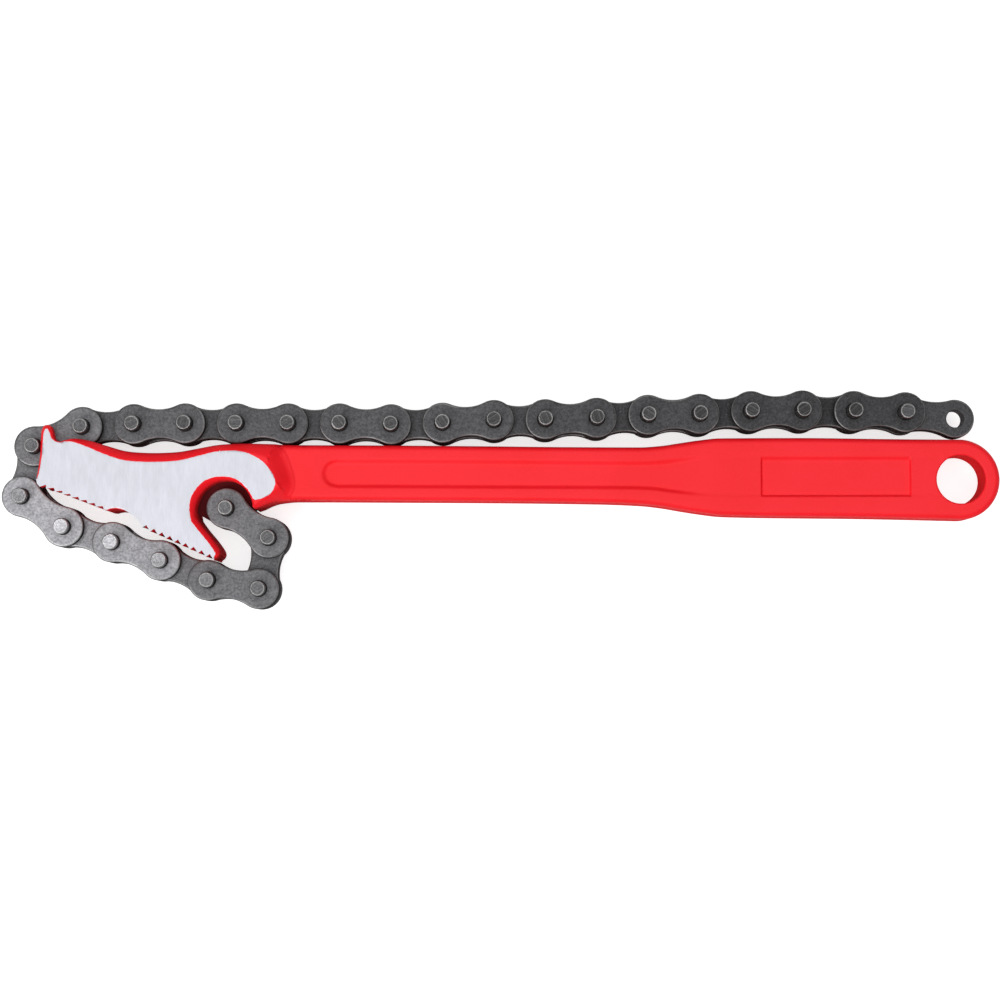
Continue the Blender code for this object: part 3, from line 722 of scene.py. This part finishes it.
def chain_links():
    """First pin and heading of every link, in plan millimetres and radians, and the chain's pitch."""
    pins = np.array([joint["pos_m"][:2] for joint in frame["joints"]]) / MM + PLAN_CENTRE
    low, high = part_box(frame["record"]["behaviour"]["bodies"][frame["joints"][-1]["child"]][0])
    middle = np.array((low + high)[:2]) / 2 / MM + PLAN_CENTRE
    ends = np.vstack([pins, 2 * middle - pins[-1]])
    step = np.diff(ends, axis=0)
    return pins, np.arctan2(step[:, 1], step[:, 0]), float(np.linalg.norm(step[0]))


def painted_link_light(index):
    """Painted light of a link: darker link by link, with a painted highlight as a bell curve about the nose and one
    at the free end.
    """
    bells = ((1.75, 5.4, 1.9), (0.6, 25.5, 0.8))  # height, middle and width of each
    return 1.0 - 0.029 * index + sum(high * math.exp(-((index - at) / wide)**2) for high, at, wide in bells)


def placer(pin, heading):
    """Turns link coordinates into plan coordinates: a turn about the first pin, then a shift to it."""
    c, s = math.cos(heading), math.sin(heading)
    turn = np.array([[c, s, 0], [-s, c, 0], [0, 0, 1]])
    return lambda points: points @ turn + [pin[0], pin[1], 0]


def plates(kind, chain, index, outline, reach, radii, place, tones_and_light, material):
    """The front and back plate of a link, each a reach off the middle plane; they stand for its two CAD nodes."""
    body = f"link_{index + 1:02d}"
    for word, low, rounds, tone_and_light in zip(
            ("front", "back"), (MIDDLE + reach, MIDDLE - reach - chain.thickness),
            ((chain.back_round, chain.face_round), (chain.face_round, chain.back_round)), tones_and_light):
        shell = Shell(f"{kind}_plate_{index + 1:02d}_{word}", "rim", "tone_and_light")
        plate_surfaces(shell, outline, low, low + chain.thickness, radii, rounds, place, tone_and_light)
        piece = shell.finish(material)
        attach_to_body(piece, body)
        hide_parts(f"{body}_{kind}_{word}")


def pin_surface(shell, chain, x, place, stroke, dish, tone_and_light):
    """A turned pin: profile of radius and height from the back end's middle to the front end's, once round."""
    radius, sides, end_zone, rub = chain.pin_radius, 32, 0.6, 0.34  # the rim rubs at rub inside the radius
    end = [(0.0, dish), (0.8, dish * 0.9), (1.5, dish * 0.45), (radius - 0.5, 0.03), (radius - 0.38, 0.0),
           (radius - 0.28, 0.03), (radius - 0.12, 0.14), (radius - 0.03, 0.3), (radius, 0.48)]
    rows = np.array(end + [(radius, z) for z in PIN_RINGS] + [(r, HEAD_TOP - z) for r, z in end[::-1]])
    angle = np.linspace(0, 2 * np.pi, sides, endpoint=False)
    ring = np.stack([np.outer(rows[:, 0], np.cos(angle)), np.outer(rows[:, 0], np.sin(angle)),
                     np.repeat(rows[:, 1:], sides, axis=1)], -1)
    across = ring[..., 0] * math.cos(stroke) + ring[..., 1] * math.sin(stroke)
    rim = np.repeat(np.abs(radius - rub - rows[:, :1]), sides, axis=1)
    rim = np.where((rows[:, 1:] > end_zone) & (rows[:, 1:] < HEAD_TOP - end_zone), PIN_SIDE, rim)
    shell.grid(place(ring + [x, 0, 0]), rim, across, tone_and_light, closed=True)


class Wire:
    """A socket of a shader tree. Arithmetic on wires and numbers adds Math nodes."""

    def __init__(self, tree, socket=None):
        self.tree, self.socket = tree, socket

    def node(self, kind, settings, sockets, output=0):
        """Adds a node: its settings first, then the values or wires of its sockets."""
        node = self.tree.nodes.new(kind)
        for name, value in settings.items():
            setattr(node, name, value)
        for name, value in sockets.items():
            if isinstance(value, Wire):
                self.tree.links.new(value.socket, node.inputs[name])
            else:
                node.inputs[name].default_value = value
        return Wire(self.tree, node.outputs[output])

    def maths(self, operation, first, second):
        return self.node("ShaderNodeMath", {"operation": operation}, {0: first, 1: second})

    def __add__(self, other):
        return self.maths("ADD", self, other)

    def __sub__(self, other):
        return self.maths("SUBTRACT", self, other)

    def __rsub__(self, other):
        return self.maths("SUBTRACT", other, self)

    def __mul__(self, other):
        return self.maths("MULTIPLY", self, other)

    __radd__, __rmul__ = __add__, __mul__

    def step(self, low, high):
        """0 below low, 1 above high, and smooth between; low may be the larger."""
        return self.node("ShaderNodeMapRange", {"interpolation_type": "SMOOTHSTEP"},
                         {"Value": self, "From Min": low, "From Max": high})

    def blend(self, first, second):
        """A colour between two, by this value."""
        sockets = {"Factor": self}
        for key, value in ((6, first), (7, second)):
            sockets[key] = value if isinstance(value, Wire) else (*value, 1)
        return self.node("ShaderNodeMix", {"data_type": "RGBA"}, sockets, output=2)


def finish(name):
    """A new material with one Principled BSDF, and the wire that its nodes are made from."""
    material = bpy.data.materials.new(name)
    material.use_nodes = True
    tree = material.node_tree
    return material, tree.nodes["Principled BSDF"], Wire(tree)


def attach(shader, **sockets):
    """Sets the shader's sockets; a word's underscores stand for blanks."""
    for name, value in sockets.items():
        socket = shader.inputs[name.replace("_", " ")]
        if isinstance(value, Wire):
            value.tree.links.new(value.socket, socket)
        else:
            socket.default_value = value


def object_place(wire, scale=(1, 1, 1)):
    """Object coordinates, stretched by a scale."""
    place = wire.node("ShaderNodeTexCoord", {}, {}, output=3)
    return wire.node("ShaderNodeMapping", {}, {"Vector": place, "Scale": scale})


def noise(wire, place, scale, detail=3.0, roughness=0.55):
    return wire.node("ShaderNodeTexNoise", {}, {
        "Vector": place, "Scale": scale, "Detail": detail, "Roughness": roughness})


def attribute(wire, name):
    return wire.node("ShaderNodeAttribute", {"attribute_name": name}, {}, output=2)


def bump(wire, height):
    """A bump whose height is in millimetres."""
    return wire.node("ShaderNodeBump", {}, {"Height": height, "Distance": MM})


def forging_finish(colours):
    """Red enamel over the forged skin, and ground steel with upright grinding marks where the face is bare; walls,
    slot and bore get darker enamel as painted shade, and the tongue nearly black as painted deep shade.
    """
    material, shader, wire = finish("enamel_and_ground_steel")
    place = object_place(wire)
    ragged = noise(wire, place, 900.0, 2.0) - 0.5
    value = attribute(wire, "bare")
    bare = (value + 0.35 * ragged).step(-0.06, 0.06)

    skin = noise(wire, place, 1500.0, 3.0, 0.6)
    cloud = noise(wire, place, 45.0, 2.0).step(0.35, 0.7)
    enamel = (cloud * 0.5 + skin.step(0.3, 0.75) * 0.3).blend(tuple(colours.enamel), tuple(colours.enamel_deep_and_shade))
    # painted shade: walls, slot and bore darker; the tongue in the hook nearly black
    wall, tongue_shade = value.step(-2.0, -6.0), value.step(-30.0, -50.0)
    enamel = tongue_shade.blend(wall.blend(enamel, tuple(0.9 * c for c in colours.enamel_deep_and_shade)), (0.09, 0.004, 0.006))

    marks = noise(wire, object_place(wire, (1.0, 0.14, 1.0)), 1900.0, 3.0, 0.7)
    soft_marks = noise(wire, object_place(wire, (1.0, 0.3, 1.0)), 520.0, 2.0)
    grey = (marks * 0.6 + soft_marks * 0.5).step(0.25, 0.85)
    ground = grey.blend(tuple(0.88 * c for c in colours.ground), tuple(1.07 * c for c in colours.ground))

    relief = bare * (marks * 0.010) + (1 - bare) * (skin * 0.030)
    attach(shader, Base_Color=bare.blend(enamel, ground), Metallic=bare * 0.7,
           Roughness=bare * (0.40 + 0.10 * marks) + (1 - bare) * (0.42 + 0.10 * skin + 0.45 * wall),
           Specular_IOR_Level=0.28, Normal=bump(wire, relief))
    return material


def steel_nodes(wire, colours):
    """Blackened steel: mottled dark scale with bright flecks, and its relief."""
    place = object_place(wire)
    mottle = noise(wire, place, 380.0, 4.0, 0.6)
    grain = noise(wire, place, 1500.0, 3.0, 0.7)
    dark = tuple(0.62 * c for c in colours.oiled)
    light = tuple(1.42 * c for c in colours.oiled)
    scale = (mottle * 0.2 + grain * 0.8).step(0.30, 0.70).blend(dark, light)
    # each piece's tone holds a random tone and the painted light and shade along the chain
    scale = wire.node("ShaderNodeVectorMath", {"operation": "SCALE"}, {0: scale, "Scale": attribute(wire, "tone_and_light")})
    flecks = noise(wire, place, 2100.0, 1.0).step(0.70, 0.78)
    return place, mottle, grain, flecks, scale


def plate_finish(colours):
    """Blackened plate: the rounding of its face's edge is rubbed a little, lighter as wear and as painted highlight,
    and its side wall is painted black as shade.
    """
    material, shader, wire = finish("blackened_plate")
    place, mottle, grain, flecks, scale = steel_nodes(wire, colours)
    uneven = noise(wire, place, 110.0, 3.0)
    rim = attribute(wire, "rim")
    # the rubbed rim is part wear, part painted highlight on the rounded edge
    rubbed = (rim + 1.2 * (uneven - 0.5)).step(0.55, 0.1) * rim.step(-0.25, 0.0) * 0.38
    wear = wire.maths("MAXIMUM", rubbed, flecks * 0.15)
    # painted shade: the side wall is made near black
    wall = rim.step(-0.05, -0.25)
    scale = wall.blend(scale, tuple(0.12 * c for c in colours.oiled))
    attach(shader, Base_Color=wear.blend(scale, tuple(colours.worn_and_highlight)), Metallic=0.8 - 0.8 * wall,
           Roughness=0.50 - 0.14 * wear + 0.10 * (mottle - 0.5) + 0.4 * wall, Specular_IOR_Level=0.15,
           Normal=bump(wire, grain * 0.05 + mottle * 0.05))
    return material


def pin_finish(colours):
    """Pin steel: bright at the rim of either end, with straight file marks on the end faces, and its side painted
    black as shade.
    """
    material, shader, wire = finish("pin_steel")
    place, mottle, grain, flecks, scale = steel_nodes(wire, colours)
    across = wire.node("ShaderNodeCombineXYZ", {}, {"X": attribute(wire, "stroke")})
    files = noise(wire, across, 2.2, 2.0, 0.7).step(0.40, 0.62)
    uneven = noise(wire, place, 260.0, 3.0)
    rim = attribute(wire, "rim")
    rubbed = (rim + 0.4 * (uneven - 0.5)).step(0.3, 0.02) * 0.45
    wear = wire.maths("MAXIMUM", rubbed, files * 0.09 + flecks * 0.08)
    # painted shade: the pin's side is made near black
    wall = rim.step(2.3, 3.5)
    scale = wall.blend(scale, tuple(0.12 * c for c in colours.oiled))
    attach(shader, Base_Color=wear.blend(scale, tuple(colours.worn_and_highlight)), Metallic=0.85 - 0.85 * wall,
           Roughness=0.44 - 0.12 * wear + 0.08 * (mottle - 0.5) + 0.45 * wall, Specular_IOR_Level=0.15,
           Normal=bump(wire, grain * 0.04 + files * 0.05))
    return material


class WRENCH_OT_forging(bpy.types.Operator):
    """Make the forged handle and the tongue that the chain is anchored to"""

    bl_idname = "wrench.forging"
    bl_label = "Forging"

    def execute(self, context):
        scene = context.scene
        material = forging_finish(scene.wrench_finishes)
        handle = forging(scene.wrench_forging, material)
        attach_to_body(handle, "handle")
        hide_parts("handle_forging")
        anchor = tongue(scene.wrench_chain, material)
        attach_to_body(anchor, "handle")
        return {"FINISHED"}


class WRENCH_OT_inner_plates(bpy.types.Operator):
    """Make both inner plates of every second link"""

    bl_idname = "wrench.inner_plates"
    bl_label = "Inner plates"

    def execute(self, context):
        chain = context.scene.wrench_chain
        material = plate_finish(context.scene.wrench_finishes)
        pins, headings, pitch = chain_links()
        chance = np.random.default_rng(7)
        for index in range(1, len(pins), 2):
            free = index == len(pins) - 1
            outline = plate_outline(pitch, chain, chain.free_end if free else chain.end_radius)
            place = placer(pins[index], headings[index])
            # inner plates get 0.70 of the cover plates' light: painted shade between the cover plates
            tones_and_light = (0.70 * painted_link_light(index) * chance.uniform(0.9, 1.1) for _ in range(2))
            radii = (chain.running_hole, chain.free_hole if free else chain.running_hole)
            plates("inner", chain, index, outline, chain.gap / 2, radii, place, tones_and_light, material)
        return {"FINISHED"}


class WRENCH_OT_cover_plates(bpy.types.Operator):
    """Make both cover plates of every other link, with its two pins"""

    bl_idname = "wrench.cover_plates"
    bl_label = "Cover plates and pins"

    def execute(self, context):
        chain = context.scene.wrench_chain
        material = plate_finish(context.scene.wrench_finishes)
        steel = pin_finish(context.scene.wrench_finishes)
        pins, headings, pitch = chain_links()
        radii = (chain.riveted_hole, chain.riveted_hole)
        outline = plate_outline(pitch, chain, chain.end_radius)
        chance = np.random.default_rng(16)
        reach = 1.5 * chain.gap + chain.thickness
        for index in range(0, len(pins), 2):
            body = f"link_{index + 1:02d}"
            place = placer(pins[index], headings[index])
            # cover plates: painted light along the chain times a random tone
            tones_and_light = (painted_link_light(index) * chance.uniform(0.92, 1.08) for _ in range(2))
            plates("cover", chain, index, outline, reach, radii, place, tones_and_light, material)
            for word, x in (("first", 0.0), ("second", pitch)):
                shell = Shell(f"pin_{index + 1:02d}_{word}", "rim", "stroke", "tone_and_light")
                # a pin: painted light of its place on the chain times a random tone
                tone_and_light = 0.9 * painted_link_light(index + x / pitch)**1.35 * chance.uniform(0.85, 1.15)
                pin_surface(shell, chain, x, place, chance.uniform(0, math.pi), chance.uniform(0.02, 0.10), tone_and_light)
                piece = shell.finish(steel)
                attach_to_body(piece, body)
                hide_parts(f"{body}_cover_back")
        return {"FINISHED"}


class WrenchStage(bpy.types.PropertyGroup):
    """The camera, the lamps and the floor."""

    distance: FloatProperty(name="Camera distance", description="From the jaw's face", unit="LENGTH", default=0.682)
    tilt: FloatProperty(name="Camera tilt", description="Lean towards the near side", subtype="ANGLE",
                        default=math.radians(3.9))
    lens: FloatProperty(name="Lens", description="Focal length in mm on a 36 mm sensor", default=79.9)
    world: FloatProperty(name="World", description="Strength of the even light", default=0.2)
    floor: colour("Floor", "Pale floor", (0.75, 0.75, 0.75))


def lamp(name, place, size, power):
    """A square softbox that faces the origin."""
    data = bpy.data.lights.new(name, "AREA")
    data.shape, data.size, data.energy = "SQUARE", size, power
    light = put(name, data)
    light.location = place
    light.rotation_euler = (Vector() - Vector(place)).to_track_quat("-Z", "Y").to_euler()


class WRENCH_OT_stage(bpy.types.Operator):
    """Make the floor, the lamps, the world and the camera"""

    bl_idname = "wrench.stage"
    bl_label = "Stage"

    def execute(self, context):
        scene = context.scene
        stage = scene.wrench_stage
        target = Vector((-PLAN_CENTRE[0], -PLAN_CENTRE[1], NECK_TOP)) * MM
        data = bpy.data.cameras.new("camera")
        data.lens, data.sensor_width = stage.lens, 36.0
        data.clip_start, data.clip_end = 0.05, 20.0
        camera = put("camera", data)
        back = Vector((0, -math.sin(stage.tilt), math.cos(stage.tilt)))
        camera.location = target + back * stage.distance
        camera.rotation_euler = (-back).to_track_quat("-Z", "Y").to_euler()
        scene.camera = camera

        mesh = bpy.data.meshes.new("floor")
        side, level = 6.0, -0.00005
        mesh.from_pydata([(x * side, y * side, level) for x, y in ((-1, -1), (1, -1), (1, 1), (-1, 1))], [],
                         [(0, 1, 2, 3)])
        mesh.materials.append(floor_finish(tuple(stage.floor)))
        floor = put("floor", mesh)
        floor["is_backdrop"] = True

        world = bpy.data.worlds.new("even_light")
        world.use_nodes = True
        attach(world.node_tree.nodes["Background"], Color=(1, 1, 1, 1), Strength=stage.world)
        scene.world = world
        lamp("softbox_near", (-0.55, -0.55, 0.80), 0.6, 5.0)
        lamp("softbox_top", (0, 0, 1.3), 1.8, 14.9)
        scene.view_settings.view_transform = "Standard"
        return {"FINISHED"}


def floor_finish(colour):
    """Pale matt floor; seen straight it glows a little, so that it comes out white and keeps its shadows."""
    material, shader, wire = finish("pale_floor")
    tree = wire.tree
    attach(shader, Base_Color=(*colour, 1), Roughness=0.9, Specular_IOR_Level=0.0)
    camera, glossy = (wire.node("ShaderNodeLightPath", {}, {}, output=ray) for ray in (0, 3))
    glow = wire.node("ShaderNodeEmission", {}, {"Strength": camera * 0.7 + glossy * 0.1})
    both = wire.node("ShaderNodeAddShader", {}, {0: Wire(tree, shader.outputs[0]), 1: glow})
    tree.links.new(both.socket, tree.nodes["Material Output"].inputs["Surface"])
    return material


class WRENCH_PT_panel(bpy.types.Panel):
    """Lists the steps that make the wrench and its stage"""

    bl_idname = "WRENCH_PT_panel"
    bl_label = "Chain pipe wrench"
    bl_space_type = "VIEW_3D"
    bl_region_type = "UI"
    bl_category = "Wrench"

    def draw(self, context):
        for operator in OPERATORS:
            self.layout.operator(operator.bl_idname)
        for owner, group in GROUPS.items():
            box = self.layout.box()
            for name in group.__annotations__:
                box.prop(getattr(context.scene, owner), name)


OPERATORS = (WRENCH_OT_forging, WRENCH_OT_inner_plates, WRENCH_OT_cover_plates, WRENCH_OT_stage)
GROUPS = {"wrench_forging": WrenchForging, "wrench_chain": WrenchChain, "wrench_finishes": WrenchFinishes,
          "wrench_stage": WrenchStage}


def register():
    for cls in (*GROUPS.values(), *OPERATORS, WRENCH_PT_panel):
        bpy.utils.register_class(cls)
    for name, group in GROUPS.items():
        setattr(bpy.types.Scene, name, PointerProperty(type=group))


def unregister():
    for name in GROUPS:
        delattr(bpy.types.Scene, name)
    for cls in (WRENCH_PT_panel, *OPERATORS[::-1], *list(GROUPS.values())[::-1]):
        bpy.utils.unregister_class(cls)


def main():
    register()
    bpy.ops.wrench.stage()
    bpy.ops.wrench.forging()
    bpy.ops.wrench.inner_plates()
    bpy.ops.wrench.cover_plates()
    corners = [list(corner) for box in (CAD_BOX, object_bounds()) for corner in box]


if __name__ == "__main__":
    main()
